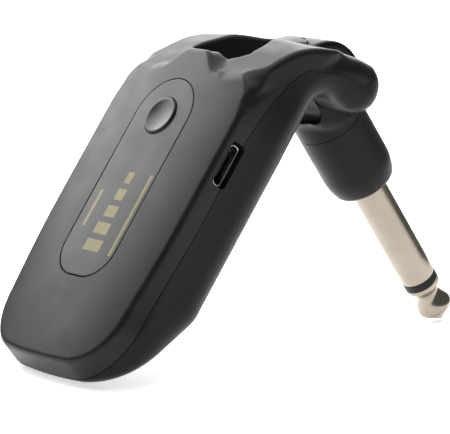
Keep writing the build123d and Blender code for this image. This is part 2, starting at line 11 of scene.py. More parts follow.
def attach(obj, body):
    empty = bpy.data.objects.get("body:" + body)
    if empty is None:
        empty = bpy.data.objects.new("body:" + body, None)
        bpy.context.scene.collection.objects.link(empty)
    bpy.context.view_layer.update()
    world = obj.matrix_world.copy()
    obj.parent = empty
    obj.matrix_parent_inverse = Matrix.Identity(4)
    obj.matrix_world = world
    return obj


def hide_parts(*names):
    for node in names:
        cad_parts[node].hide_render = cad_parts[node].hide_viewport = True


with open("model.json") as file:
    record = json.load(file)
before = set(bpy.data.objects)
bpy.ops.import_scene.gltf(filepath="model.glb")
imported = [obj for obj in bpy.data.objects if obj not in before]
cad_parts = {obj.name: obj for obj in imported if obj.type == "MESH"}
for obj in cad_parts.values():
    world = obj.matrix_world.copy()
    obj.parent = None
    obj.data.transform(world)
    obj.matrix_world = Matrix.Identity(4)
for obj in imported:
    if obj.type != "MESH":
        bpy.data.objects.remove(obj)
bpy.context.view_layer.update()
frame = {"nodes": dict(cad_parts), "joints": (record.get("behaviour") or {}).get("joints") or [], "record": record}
JOINTS = {joint["name"]: joint for joint in frame["joints"]}

# Shapes are worked out in millimetres in the housing's own frame: the control face looks along -Y,
# the housing's long axis is Z and the fold hinge runs along X. The two joints say where that is.
HINGE = (23.3, 54.46)                 # y and z of the fold axis in the housing's frame
HINGE_POINT = Vector((0, *HINGE))
HINGE_ROW = Vector(JOINTS["plug_fold"]["pos_m"])
LEAN = -math.atan2(-JOINTS["button_press"]["axis"][2], JOINTS["button_press"]["axis"][1])
PLUG_DROP = math.radians(19.64)       # how far the plug points below the housing's +Y direction
MM = 0.001


def housing_frame():
    """The matrix that takes the housing's frame in millimetres to the row frame in metres."""
    turn = Matrix.Rotation(LEAN, 4, "X")
    scale = Matrix.Scale(MM, 4)
    return Matrix.Translation(HINGE_ROW) @ turn @ scale @ Matrix.Translation(-HINGE_POINT)


TO_ROW = housing_frame()
PLUG_AXIS = Vector((0, math.cos(PLUG_DROP), -math.sin(PLUG_DROP)))
PLUG_OUT = Vector((0, math.sin(PLUG_DROP), math.cos(PLUG_DROP)))


# ------------------------------------------------------------------ distance fields
def round_and(a, b, radius):
    """Intersection of two fields, its edge rounded."""
    corner = np.hypot(np.maximum(a + radius, 0), np.maximum(b + radius, 0))
    return np.minimum(np.maximum(a, b), -radius) + corner


def round_or(a, b, radius):
    """Union of two fields, its inner corner filled."""
    corner = np.hypot(np.maximum(radius - a, 0), np.maximum(radius - b, 0))
    return np.maximum(np.minimum(a, b), radius) - corner


def smooth_step(value, low, high):
    """0 below the low value, 1 above the high one, and a smooth rise between."""
    share = np.clip((value - low) / (high - low), 0, 1)
    return share * share * (3 - 2 * share)


def curve(points, steps=8):
    """A smooth curve through a few points, as a dense list."""
    control = np.array(points, float)
    ends = np.vstack([2 * control[0] - control[1], control, 2 * control[-1] - control[-2]])
    t = np.linspace(0, 1, steps, endpoint=False)[:, None]
    spans = []
    for a, b, c, d in zip(ends, ends[1:], ends[2:], ends[3:]):
        spans.append(0.5 * (2 * b + (c - a) * t + (2 * a - 5 * b + 4 * c - d) * t**2
                            + (3 * b - a - 3 * c + d) * t**3))
    return np.vstack(spans + [control[-1:]])


def arc(centre, radius, start, end, steps=14):
    """Points of an arc, its angles in degrees."""
    angles = np.radians(np.linspace(start, end, steps))
    return np.column_stack([centre[0] + radius * np.cos(angles), centre[1] + radius * np.sin(angles)])


def polygon_field(points, u, v):
    """Signed distance to a closed outline in a plane, negative inside."""
    u, v = np.broadcast_arrays(u, v)
    nearest = np.full(u.shape, 1e9)
    inside = np.zeros(u.shape, bool)
    corners = np.asarray(points, float)
    for (ax, ay), (bx, by) in zip(corners, np.roll(corners, -1, axis=0)):
        ex, ey = bx - ax, by - ay
        length = ex * ex + ey * ey
        if length < 1e-12:
            continue
        along = np.clip(((u - ax) * ex + (v - ay) * ey) / length, 0, 1)
        nearest = np.minimum(nearest, (u - ax - along * ex) ** 2 + (v - ay - along * ey) ** 2)
        if ay != by:
            crosses = ((v >= ay) != (v >= by)) & (u < ax + (v - ay) * ex / ey)
            inside ^= crosses
    return np.where(inside, -1, 1) * np.sqrt(nearest)


def tabled(points, low, high, step=0.1):
    """An outline's field, worked out once on a fine grid and read from it between the grid's points."""
    us = np.arange(low[0], high[0] + step, step)
    vs = np.arange(low[1], high[1] + step, step)
    table = polygon_field(points, us[:, None], vs[None, :])

    def read(u, v):
        """The field at any point, between the table's four nearest values."""
        u, v = np.broadcast_arrays((u - low[0]) / step, (v - low[1]) / step)
        i = np.clip(u.astype(int), 0, len(us) - 2)
        j = np.clip(v.astype(int), 0, len(vs) - 2)
        p, q = u - i, v - j
        return ((1 - p) * ((1 - q) * table[i, j] + q * table[i, j + 1])
                + p * ((1 - q) * table[i + 1, j] + q * table[i + 1, j + 1]))

    return read


# ------------------------------------------------------------------ the housing's outer form
# Outlines in the side view are lists of (y, z). A crease is the line that the top of an arm follows,
# from the face back to the hinge: one on the arm's outer side and one beside the slot.
OUTER_CREASE = [(-4.0, 37.0), (0.4, 42.7), (2.1, 44.9), (3.8, 47.3), (5.6, 49.9), (7.2, 51.9),
                (8.7, 53.3), (10.5, 54.6), (12.7, 55.8), (16.0, 57.3), (20.2, 58.7), (23.6, 59.3)]
INNER_CREASE = [(-4.0, 35.5), (0.0, 41.6), (1.0, 43.3), (2.5, 46.0), (4.1, 48.4), (5.5, 50.4),
                (6.9, 52.0), (8.6, 53.9), (10.0, 54.9), (11.9, 55.8), (13.9, 56.5), (17.6, 57.5),
                (20.6, 58.4), (23.6, 58.9)]
CREASE_INNER_X, CREASE_SPAN = 8.0, 7.0           # where the inner crease is, and how far off the outer
KNUCKLE_TOP = [(25.6, 58.4), (26.9, 57.0), (27.5, 55.4)]
KNUCKLE_R = 4.3
UNDERSIDE = 50.7
DEPTH = 16.0
ARCH_R = 4.6
ARCH_DROP = 0.4
FOOT = [(DEPTH, 8.0), (15.9, 4.8), (14.3, 0.8), (11.4, -4.4), (8.6, -9.6), (6.1, -13.9)]
BELOW_FOOT = [(5.3, -16.0), (-4.0, -16.0)]

HALF_WIDTH = 17.3
ARMS_DRAW_IN = 1.5
LOWER_END = -13.2
LOWER_END_R = 85.0
LOWER_CORNER_R = 9.2
FRONT_FLARE = 0.3
FACE_DRAFT, FACE_DRAFT_DEPTH = 0.27, 5.5
SHOULDER_CUT = 3.0

BACK_EDGE_R = 5.4
UPPER_EDGE_LOSS, FOOT_EDGE_LOSS = 1.2, 3.6
SHOULDER_EDGE_R = 0.9
SHOULDER_SLOPE = 0.9
KNUCKLE_EDGE_R = 3.4

FACE_BOW, FACE_BOW_WIDTH = 1.35, 17.0
FACE_CURL_TOP, FACE_CURL_R = 20.0, 950.0
FACE_EDGE_R = 0.6


def side_profile(crease):
    """Side view of the housing below a crease: knuckle, underside, arch, back and bevelled foot."""
    top = curve([crease[-1], *KNUCKLE_TOP, (HINGE[0] + KNUCKLE_R, HINGE[1])])
    knuckle = arc(HINGE, KNUCKLE_R, -4, -90)
    arch = arc((DEPTH + ARCH_R, UNDERSIDE - ARCH_R - ARCH_DROP), ARCH_R, 90, 180)
    return np.vstack([curve(crease), top[1:], knuckle, arch, curve(FOOT), BELOW_FOOT])


def half_width(z):
    """Half the housing's width, drawn in at the two arms."""
    return HALF_WIDTH - ARMS_DRAW_IN * smooth_step(z, 34, 50)


def face_depth(x, z):
    """Depth of the bowed control face, which curls back a little towards its lower end."""
    curl = np.maximum(FACE_CURL_TOP - z, 0) ** 2 / (2 * FACE_CURL_R)
    return FACE_BOW * (np.abs(x) / FACE_BOW_WIDTH) ** 2.5 + curl


SLOT_FLOOR = 44.3
SLOT_EDGE_R = 0.5
SLOT_FRONT = [(-7.4, 4.6), (-6.0, 3.5), (-3.4, 2.8), (0, 2.6), (3.4, 2.8), (6.0, 3.5), (7.4, 4.6)]
SLOT_REAR = [(6.6, 6.6), (4.9, 8.9), (2.6, 11.2), (0.6, 12.9)]

TONGUE_LOW, TONGUE_RISE = 42.2, 4.6
TONGUE_SHOULDER = (2.2, 7.8)
TONGUE_SLOPE = 0.25
TONGUE_SCALE = 0.8                    # keeps the steep top's field close to a true distance
TONGUE_BACK, TONGUE_BOW = 2.7, 0.034
TONGUE_HALF_WIDTH = 8.6
TONGUE_ROOT = 38.0
TONGUE_EDGE_R, TONGUE_SIDE_R, TONGUE_FILLET = 0.5, 1.0, 1.8

STRIP_TOP = [(4.0, 47.4), (7.4, 51.6), (9.5, 53.4), (11.6, 55.0), (14.0, 57.1), (17.0, 59.5),
             (18.8, 60.6), (21.0, 61.8), (24.5, 63.0)]
STRIP_BELOW = [(24.5, 54.0), (4.0, 44.0)]
STRIP_HALF_WIDTH = [(9.0, 0.6), (11.5, 1.8), (14.0, 3.6), (17.0, 5.5), (20.0, 6.4), (23.0, 6.5)]
STRIP_START = 10.0
STRIP_CROWN = 0.028
STRIP_EDGE_R = 0.7

EAR_INNER = 6.5
POCKET_R = 7.7
POCKET_LOW = 40.0
POCKET_EDGE_R = 0.35
BEHIND_DRUM = 0.9                     # the pocket is open from this far in front of the fold axis
FOLD_BACK_GAP, FOLD_TOP_GAP = 0.4, 1.0


def slot_outline():
    """Plan of the slot, as (x, y): a bowed front and two sides that meet in a point."""
    front = curve(SLOT_FRONT, 5)
    right = curve([SLOT_FRONT[-1]] + SLOT_REAR, 4)[1:]
    left = [(-x, y) for x, y in right[::-1]]
    return np.vstack([front, right, left])


def tongue_top(x):
    """Top of the tongue that the face ends in, in front of the slot."""
    return TONGUE_LOW + TONGUE_RISE * (1 - smooth_step(x, *TONGUE_SHOULDER))


SIDE_LOW, SIDE_HIGH = (-3.0, -16.0), (31.0, 65.0)
PLAN_LOW, PLAN_HIGH = (-19.0, -3.0), (19.0, 31.0)
outer_profile = tabled(side_profile(OUTER_CREASE), SIDE_LOW, SIDE_HIGH)
inner_profile = tabled(side_profile(INNER_CREASE), SIDE_LOW, SIDE_HIGH)
strip_profile = tabled(np.vstack([curve(STRIP_TOP), STRIP_BELOW]), SIDE_LOW, SIDE_HIGH)
slot_plan = tabled(slot_outline(), PLAN_LOW, PLAN_HIGH)


def housing_field(x, y, z):
    """The housing's outer form, rounded, before it is parted and pierced."""
    side = np.abs(x)
    bank = np.clip((side - CREASE_INNER_X) / CREASE_SPAN, -0.2, 1.1)
    outer = outer_profile(y, z)
    inner = inner_profile(y, z)
    profile = inner + (outer - inner) * bank
    body = round_and(profile, flank_field(side, y, z), edge_radius(y, z))
    body = round_or(body, tongue_field(side, y, z), TONGUE_FILLET)
    body = round_or(body, strip_field(side, y, z), STRIP_EDGE_R)
    body = round_and(body, face_depth(side, z) - y, FACE_EDGE_R)
    body = round_and(body, -slot_field(x, y, z), SLOT_EDGE_R)
    return round_and(body, -pocket_field(side, y, z), POCKET_EDGE_R)


def edge_radius(y, z):
    """Rounding of the long edges: full along the back, tighter at foot, shoulders and knuckles."""
    upper = smooth_step(z, 36, 46)
    foot = 1 - smooth_step(z, -11, 3)
    shoulder = smooth_step(z, 33, 39) * (1 - smooth_step(y - (z - 44) * SHOULDER_SLOPE, 2.5, 6.5))
    knuckle = smooth_step(y, 14, 22) * smooth_step(z, 30, 44)
    radius = BACK_EDGE_R - UPPER_EDGE_LOSS * upper - FOOT_EDGE_LOSS * foot
    radius = radius + shoulder * (SHOULDER_EDGE_R - radius)
    return radius + knuckle * (KNUCKLE_EDGE_R - radius)


def flank_field(side, y, z):
    """The two sides and the lower end, which draws in towards the face."""
    slope = np.sqrt(1 + (side / LOWER_END_R) ** 2)
    lower_end = (LOWER_END + side * side / (2 * LOWER_END_R) - z) / slope
    flare = FRONT_FLARE * (1 - smooth_step(y, 1.5, 8.0)) * smooth_step(z, -6, 10)
    flank = round_and(side - half_width(z) - flare, lower_end, LOWER_CORNER_R)
    draft = FACE_DRAFT * np.maximum(FACE_DRAFT_DEPTH - y, 0) * (1 - smooth_step(z, -8, 16))
    shoulder = SHOULDER_CUT * smooth_step(z, 39.5, 45.0) * (1 - smooth_step(y, 1.0, 3.5))
    return flank + draft + shoulder


def tongue_field(side, y, z):
    """The tongue in front of the slot, its top sloping up to the rear."""
    top = z - tongue_top(side) - TONGUE_SLOPE * (y - 1.0)
    back = y - TONGUE_BACK - TONGUE_BOW * side * side
    tongue = round_and(top * TONGUE_SCALE, back, TONGUE_EDGE_R)
    tongue = round_and(tongue, side - TONGUE_HALF_WIDTH, TONGUE_SIDE_R)
    return np.maximum(tongue, TONGUE_ROOT - z)


def slot_field(x, y, z):
    """The slot between tongue and strip, open upwards."""
    return np.maximum(slot_plan(x, y), SLOT_FLOOR - z)


def strip_field(side, y, z):
    """The crowned strip that bridges the arms, widening from the slot's point to the drum."""
    top = strip_profile(y, z) + STRIP_CROWN * side * side
    widths = np.array(STRIP_HALF_WIDTH)
    width = np.interp(y, widths[:, 0], widths[:, 1])
    return np.maximum(round_and(top, side - width, STRIP_EDGE_R), STRIP_START - y)


def pocket_field(side, y, z):
    """The drum's pocket between the knuckles, and the recess that the barrel folds into."""
    drum = np.hypot(y - HINGE[0], z - HINGE[1]) - POCKET_R
    behind = np.maximum(HINGE[0] - BEHIND_DRUM - y, POCKET_LOW - z)
    fold = np.maximum(DEPTH + FOLD_BACK_GAP - y, POCKET_LOW - z)
    fold = np.maximum(fold, z - UNDERSIDE - FOLD_TOP_GAP)
    return np.maximum(np.minimum(np.minimum(drum, behind), fold), side - EAR_INNER)


# ------------------------------------------------------------------ meshing a field
def surface_nets(field, low, high, step):
    """A quad mesh of a field's zero surface, each vertex moved onto it."""
    axes = [np.arange(a, b + step, step) for a, b in zip(low, high)]
    grid = np.meshgrid(*axes, indexing="ij", sparse=True)
    inside = np.broadcast_to(field(*grid), [len(a) for a in axes]) < 0
    cells, index = crossed_cells(inside)
    points = settle(field, np.array(low) + (cells + 0.5) * step, step)
    quads = [quad for axis in range(3) for quad in crossed_edges(inside, index, axis)]
    return points, np.vstack(quads)


def crossed_cells(inside):
    """The grid cells that the surface passes through, and a grid of their numbers."""
    count = np.zeros(tuple(n - 1 for n in inside.shape), np.int8)
    size_i, size_j, size_k = count.shape
    for i, j, k in itertools.product((0, 1), repeat=3):
        count += inside[i:i + size_i, j:j + size_j, k:k + size_k]
    cells = np.argwhere((count > 0) & (count < 8))
    index = np.full(count.shape, -1, np.int64)
    index[tuple(cells.T)] = np.arange(len(cells))
    return cells, index


def crossed_edges(inside, index, axis):
    """Two lists of quads, each about a grid edge along one axis that goes out of or into the form."""
    u, v = [a for a in range(3) if a != axis]
    first = [slice(1, -1)] * 3
    first[axis] = slice(0, -1)
    second = list(first)
    second[axis] = slice(1, None)
    here, there = inside[tuple(first)], inside[tuple(second)]
    quads = []
    for leaves, mask in ((True, here & ~there), (False, ~here & there)):
        base = np.argwhere(mask) + 1
        base[:, axis] -= 1
        ring = []
        for du, dv in ((0, 0), (1, 0), (1, 1), (0, 1)):
            corner = base.copy()
            corner[:, u] -= du
            corner[:, v] -= dv
            ring.append(index[tuple(corner.T)])
        quad = np.column_stack(ring)
        turned = leaves == (axis != 1)
        quads.append(quad if turned else quad[:, ::-1])
    return quads


def settle(field, points, step, rounds=4):
    """Move points onto a field's zero surface along its slope."""
    reach = 0.03
    for _ in range(rounds):
        x, y, z = points.T
        here = field(x, y, z)
        slope = np.column_stack([
            field(x + reach, y, z) - here,
            field(x, y + reach, z) - here,
            field(x, y, z + reach) - here,
        ]) / reach
        size = np.maximum((slope**2).sum(1), 0.05)
        shift = slope * (here / size)[:, None]
        length = np.linalg.norm(shift, axis=1)
        shift *= np.minimum(1, 0.6 * step / np.maximum(length, 1e-9))[:, None]
        points = points - shift
    return points


def add_object(name, data):
    """An object in the scene with the given data."""
    made = bpy.data.objects.new(name, data)
    bpy.context.scene.collection.objects.link(made)
    return made


def mesh_object(name, points, faces):
    """A mesh object in the housing's frame, in millimetres."""
    mesh = bpy.data.meshes.new(name)
    mesh.from_pydata([tuple(p) for p in points], [], [tuple(int(i) for i in f) for f in faces])
    mesh.validate()
    return add_object(name, mesh)


def band(first, second, size):
    """Quads between two closed rings of points, given by the numbers of their first points."""
    following = [(i + 1) % size for i in range(size)]
    return [(first + i, first + j, second + j, second + i) for i, j in enumerate(following)]


def prism(name, outline, start, end, plane="yz"):
    """A closed prism: an outline in one plane, drawn out along the third axis."""
    lay = {
        "yz": lambda p, h: (h, p[0], p[1]),
        "xz": lambda p, h: (p[0], h, p[1]),
        "xy": lambda p, h: (p[0], p[1], h),
    }[plane]
    corners = [tuple(p) for p in outline]
    size = len(corners)
    points = [lay(p, start) for p in corners] + [lay(p, end) for p in corners]
    faces = [tuple(range(size)), tuple(range(2 * size - 1, size - 1, -1))]
    faces += [(i, i + size, (i + 1) % size + size, (i + 1) % size) for i in range(size)]
    made = mesh_object(name, points, faces)
    face_outwards(made)
    return made


def face_outwards(made):
    """Turn a closed mesh's faces outwards."""
    work = bmesh.new()
    work.from_mesh(made.data)
    bmesh.ops.recalc_face_normals(work, faces=work.faces)
    work.to_mesh(made.data)
    work.free()


def boolean(piece, cutter, operation):
    """Apply a boolean with a cutter, which is then thrown away."""
    change = piece.modifiers.new("cut", "BOOLEAN")
    change.object = cutter
    change.operation = operation
    change.solver = "EXACT"
    graph = bpy.context.evaluated_depsgraph_get()
    result = bpy.data.meshes.new_from_object(piece.evaluated_get(graph))
    piece.modifiers.clear()
    old = piece.data
    piece.data = result
    bpy.data.meshes.remove(old)
    bpy.data.objects.remove(cutter)
    return piece


def cut(piece, *cutters):
    """Take several cutters away from a piece."""
    for cutter in cutters:
        boolean(piece, cutter, "DIFFERENCE")


def solid_from_field(name, field, low, high, step):
    """A closed mesh of a field's surface."""
    made = mesh_object(name, *surface_nets(field, low, high, step))
    face_outwards(made)
    return made


def finish_mesh(piece, sharp=34.0):
    """Smooth shading with the true edges kept, and the piece brought to the row frame."""
    piece.data.transform(TO_ROW)
    face_outwards(piece)
    for polygon in piece.data.polygons:
        polygon.use_smooth = True
    piece.data.set_sharp_from_angle(angle=math.radians(sharp))
    return piece


# ------------------------------------------------------------------ housing pieces
WALL = 1.6
CAVITY_TOP = 42.4
BUSH_R = 2.95
BUSH_END = 13.0
HOUSING_LOW, HOUSING_HIGH = (-17.9, -1.0, -14.2), (17.9, 29.0, 63.0)     # the meshing grid
HOUSING_STEP = 0.35

# The parting line between the covers, from the lower end to the top, as (y, z).
SEAM = [(4.9, -20.0), (4.9, -13.0), (4.85, -7.0), (4.8, 0.0), (4.9, 6.0), (5.15, 12.0), (5.4, 18.0),
        (5.3, 24.0), (5.1, 30.0), (5.4, 34.7), (6.3, 39.6), (8.3, 45.7), (9.9, 49.1), (11.5, 50.9),
        (13.6, 51.9), (18.0, 54.0), (22.4, 54.7), (23.2, 55.6), (24.0, 58.9), (24.3, 63.0)]
SEAM_GAP = 0.13
SEAM_BLOCK_TOP = 64.0
PAST_FRONT, PAST_REAR, PAST_SIDE = -12.0, 45.0, 25.0             # clear of the whole housing

PORT_CENTRE = (4.45, 28.6)
PORT_POCKET_HALF = (1.5, 4.0)
PORT_POCKET_R = 0.75
PORT_CUT = (9.0, 20.0)
PORT_BACK, PORT_MOUTH = 11.0, 16.2
PORT_SHEET = 0.3
PORT_FOLD_R = 0.7
PORT_FLOOR = 0.4
PORT_CORNERS = [(1.275, -3.75), (1.275, 3.75), (-0.25, 3.75), (-1.275, 2.65), (-1.275, -2.65),
                (-0.25, -3.75)]

BUTTON_CENTRE = (0.0, 33.35)
BUTTON_R = 3.45
BUTTON_GAP_COVER, BUTTON_GAP_PANEL = 0.15, 0.13
FACE_CUT = (-3.0, 5.0)

SCREWS = [(-12.7, 8.0), (12.7, 8.0), (-12.3, 38.6), (12.3, 38.6)]
SCREW_HOLE_R = 1.7
SCREW_CUT = (14.2, 20.0)

PANEL_HALF_WIDTH = 7.1
PANEL_LOW = 2.9
PANEL_CORNER_R = 5.6
PANEL_THICKNESS = 0.7
PANEL_EDGE_R = 0.12
PANEL_GAP, PANEL_BED = 0.16, 0.15
PANEL_RINGS = [0.0, 0.04, 0.12, 0.25, 0.6, 1.4, 2.6, 4.0, 5.4]     # distances in from its outline
PANEL_AXIS_RISE = 1.5                 # the line that the rings close in on starts above the corners


def shell_field(x, y, z):
    """The housing as a hollow shell, with a seat through each knuckle for the hinge's bush."""
    form = housing_field(x, y, z)
    shell = np.maximum(form, -np.maximum(form + WALL, z - CAVITY_TOP))
    bush_seat = np.maximum(np.hypot(y - HINGE[0], z - HINGE[1]) - BUSH_R, np.abs(x) - BUSH_END)
    return np.maximum(shell, -bush_seat)


def seam_side(shift, towards):
    """The outline of a block on one side of the parting line, which is shifted by part of its gap."""
    line = curve(SEAM, 6) + np.array([shift, 0])
    return np.vstack([line, [(towards, SEAM_BLOCK_TOP), (towards, SEAM[0][1])]])


def circle(centre, radius, steps=72):
    """The points of a whole circle."""
    return arc(centre, radius, 0, 360, steps + 1)[:-1]


def port_pocket():
    """The outline of the port's pocket in the housing's side: a rectangle with rounded corners."""
    half_y, half_z = (half - PORT_POCKET_R for half in PORT_POCKET_HALF)
    corners = []
    for sign_y, sign_z, start in ((1, 1, 0), (-1, 1, 90), (-1, -1, 180), (1, -1, 270)):
        centre = (PORT_CENTRE[0] + sign_y * half_y, PORT_CENTRE[1] + sign_z * half_z)
        corners.append(arc(centre, PORT_POCKET_R, start, start + 90, 8))
    return np.vstack(corners)


def panel_outline(gap=0.0):
    """The panel's outline, grown by a gap: a half circle above and two rounded corners below."""
    half, low, radius = PANEL_HALF_WIDTH + gap, PANEL_LOW - gap, PANEL_CORNER_R + gap
    top = arc((0, BUTTON_CENTRE[1]), half, 0, 180, 49)
    left = arc((-half + radius, low + radius), radius, 180, 270, 25)
    right = arc((half - radius, low + radius), radius, 270, 360, 25)
    return np.vstack([top, left, right])


def edge_drop(inset, radius):
    """How far a rounded edge lies below its face, at a distance in from the outline."""
    if inset >= radius:
        return 0.0
    return radius * (1 - math.sqrt(1 - (1 - inset / radius) ** 2))


def panel_shape(name, start, end, gap=0.0, edge_r=0.0):
    """A layer of the panel's outline that follows the bowed face between two depths."""
    outline = panel_outline(gap)
    size = len(outline)
    low, high = PANEL_LOW + PANEL_CORNER_R + PANEL_AXIS_RISE, BUTTON_CENTRE[1]
    axis = np.column_stack([np.zeros(size), np.clip(outline[:, 1], low, high)])
    reach = np.linalg.norm(outline - axis, axis=1)
    points = []
    for inset in PANEL_RINGS:
        ring = axis + (outline - axis) * (1 - inset / reach)[:, None]
        depth = start + edge_drop(inset, edge_r)
        points += [(x, face_depth(x, z) + depth, z) for x, z in ring]
    inner, bottom = len(points) - size, len(points)
    points += [(x, face_depth(x, z) + end, z) for x, z in outline]
    faces = [face for first in range(0, inner, size) for face in band(first, first + size, size)]
    faces += band(bottom, 0, size)
    faces += [tuple(range(inner, bottom)), tuple(range(bottom, bottom + size))]
    made = mesh_object(name, points, faces)
    face_outwards(made)
    return made


def make_panel():
    """The control panel, with the button's hole."""
    panel = panel_shape("panel", 0.0, PANEL_THICKNESS, edge_r=PANEL_EDGE_R)
    cut(panel, prism("cut_hole", circle(BUTTON_CENTRE, BUTTON_R + BUTTON_GAP_PANEL), *FACE_CUT, "xz"))
    return finish_mesh(panel)


def make_housing():
    """The two visible covers, parted along the seam and pierced for the panel, port and screws."""
    front = solid_from_field("cover_front", shell_field, HOUSING_LOW, HOUSING_HIGH, HOUSING_STEP)
    cut(front, prism("cut_port", port_pocket(), *PORT_CUT))
    rear = add_object("cover_rear", front.data.copy())
    front_side, rear_side = seam_side(-SEAM_GAP / 2, PAST_FRONT), seam_side(SEAM_GAP / 2, PAST_REAR)
    boolean(front, prism("keep_front", front_side, -PAST_SIDE, PAST_SIDE), "INTERSECT")
    boolean(rear, prism("keep_rear", rear_side, -PAST_SIDE, PAST_SIDE), "INTERSECT")
    cut(front, panel_shape("cut_panel", FACE_CUT[0], PANEL_THICKNESS + PANEL_BED, gap=PANEL_GAP),
        prism("cut_button", circle(BUTTON_CENTRE, BUTTON_R + BUTTON_GAP_COVER), *FACE_CUT, "xz"))
    cut(rear, *(prism("cut_screw", circle(place, SCREW_HOLE_R, 32), *SCREW_CUT, "xz") for place in SCREWS))
    return finish_mesh(front), finish_mesh(rear)


def rounded_outline(corners, radius, inset, steps=6):
    """A closed outline with rounded corners, moved inwards by the inset; corners run anticlockwise."""
    corners = np.asarray(corners)
    points = []
    for before, corner, after in zip(np.roll(corners, 1, 0), corners, np.roll(corners, -1, 0)):
        came, goes = corner - before, after - corner
        came, goes = came / np.hypot(*came), goes / np.hypot(*goes)
        first, last = np.array([came[1], -came[0]]), np.array([goes[1], -goes[0]])
        centre = corner - (first + last) * radius / (1 + first @ last)
        for share in np.linspace(0, 1, steps):
            out = first * (1 - share) + last * share
            points.append(centre + out / np.hypot(*out) * (radius - inset))
    return np.array(points)


def make_port_shell():
    """The charging port's folded metal shell, with a rolled rim at its mouth."""
    half = PORT_SHEET / 2
    angles = np.radians(range(0, 181, 30))
    rim = [(half - half * math.cos(a), PORT_MOUTH + half * math.sin(a)) for a in angles]
    section = [(0.0, PORT_BACK), *rim, (PORT_SHEET, PORT_BACK + PORT_FLOOR)]
    points = []
    for inset, across in section:
        ring = rounded_outline(PORT_CORNERS, PORT_FOLD_R, inset) + np.array(PORT_CENTRE)
        points += [(across, y, z) for y, z in ring]
    size, last = len(ring), len(points) - len(ring)
    faces = [face for first in range(0, last, size) for face in band(first, first + size, size)]
    faces += [tuple(range(size)), tuple(range(last, len(points)))]
    return finish_mesh(mesh_object("port_shell", points, faces), 50)


# ------------------------------------------------------------------ turned pieces
def lathe(name, profile, place, steps=128):
    """A turned piece from (radius, distance) points; place puts a point about the piece's axis."""
    points, faces = [], []
    profile = [tuple(p) for p in profile]
    rows = []
    for radius, along in profile:
        if radius < 1e-6:
            rows.append([len(points)])
            points.append(place(0.0, 0.0, along))
            continue
        rows.append(range(len(points), len(points) + steps))
        for i in range(steps):
            angle = 2 * math.pi * i / steps
            points.append(place(radius * math.cos(angle), radius * math.sin(angle), along))
    for a, b in zip(rows, rows[1:]):
        for i in range(steps):
            j = (i + 1) % steps
            corner = [a[i % len(a)], a[j % len(a)], b[j % len(b)], b[i % len(b)]]
            ring = [c for k, c in enumerate(corner) if c not in corner[:k]]
            if len(ring) > 2:
                faces.append(tuple(ring))
    made = mesh_object(name, points, faces)
    face_outwards(made)
    return made


def on_plug(u, v, along):
    """A point beside the plug's axis: u across, v away from the housing."""
    return tuple(Vector((u, *HINGE)) + PLUG_AXIS * along + PLUG_OUT * v)


def on_button(u, v, along):
    """A point beside the button's axis: u across, v upwards."""
    return (BUTTON_CENTRE[0] + u, along, BUTTON_CENTRE[1] + v)


DISH_R, DISH_DEPTH, DISH_FLOOR = 3.05, 0.47, 0.12
BUTTON_RIM_R, BUTTON_RIM_DEPTH = 0.35, -0.01
BUTTON_FLANGE_R, BUTTON_STEM_R = 4.3, 1.2


def make_button():
    """The dished button, with its flange and stem."""
    radii = (0, 0.4, 0.8, 1.2, 1.6, 2.0, 2.4, 2.75, DISH_R)
    dish = [(r, DISH_FLOOR - DISH_DEPTH * (r / DISH_R) ** 2) for r in radii]
    middle = BUTTON_R - BUTTON_RIM_R
    rim = [(middle + BUTTON_RIM_R * math.sin(a), BUTTON_RIM_DEPTH - BUTTON_RIM_R * math.cos(a))
           for a in np.radians(np.arange(15, 91, 15))]
    body = [(BUTTON_R, 1.95), (BUTTON_FLANGE_R, 1.95), (BUTTON_FLANGE_R, 2.5), (BUTTON_STEM_R, 2.5),
            (BUTTON_STEM_R, 3.5), (0, 3.5)]
    return finish_mesh(lathe("button", dish + rim + body, on_button), 50)


PLUG_R = 3.175
PLUG_SEAT_R = 3.5
BARREL_END = 22.85
RING_START, RING_END, PLUG_TIP = 44.7, 46.05, 54.8


def sleeve_profile():
    """The plug's root in the barrel, its sleeve and the sleeve's bevelled end."""
    root = [(0, 12.1), (2.9, 12.1), (2.9, 17), (4.6, 17), (4.6, 19), (PLUG_SEAT_R, 19),
            (PLUG_SEAT_R, BARREL_END - 0.05), (PLUG_SEAT_R - 0.05, BARREL_END), (PLUG_R, BARREL_END)]
    sleeve = [(PLUG_R, along) for along in np.linspace(24, RING_START - 0.2, 6)]
    end = [(PLUG_R - 0.05, RING_START - 0.06), (PLUG_R - 0.13, RING_START), (0, RING_START)]
    return root + sleeve + end


def ring_profile():
    """The insulating ring, its corners broken."""
    bevel = 0.06
    return [(0, RING_START), (PLUG_R - bevel, RING_START), (PLUG_R, RING_START + bevel),
            (PLUG_R, RING_END - bevel), (PLUG_R - bevel, RING_END), (0, RING_END)]


def tip_profile():
    """The tip's collar, waist, ball and cone."""
    collar = [(0, RING_END), (PLUG_R - 0.12, RING_END), (PLUG_R, RING_END + 0.12),
              (PLUG_R, RING_END + 0.75), (PLUG_R - 0.1, RING_END + 0.95)]
    waist = [(2.86, 47.3), (2.45, 47.75), (2.2, 48.15), (2.12, 48.6), (2.18, 49.05), (2.38, 49.5)]
    ball = [(2.62, 49.9), (2.86, 50.35), (3.04, 50.8), (3.14, 51.25), (3.16, 51.6), (3.1, 51.95),
            (2.92, 52.3)]
    cone = [(2.55, 52.65), (1.9, 53.28), (1.25, 53.9), (0.85, 54.27), (0.62, 54.5), (0.4, 54.68),
            (0, PLUG_TIP)]
    return collar + waist + ball + cone


def make_plug():
    """The plug's sleeve, its insulating ring and its tip."""
    profiles = (("sleeve", sleeve_profile()), ("ring", ring_profile()), ("tip", tip_profile()))
    return [finish_mesh(lathe(name, profile, on_plug), 40) for name, profile in profiles]


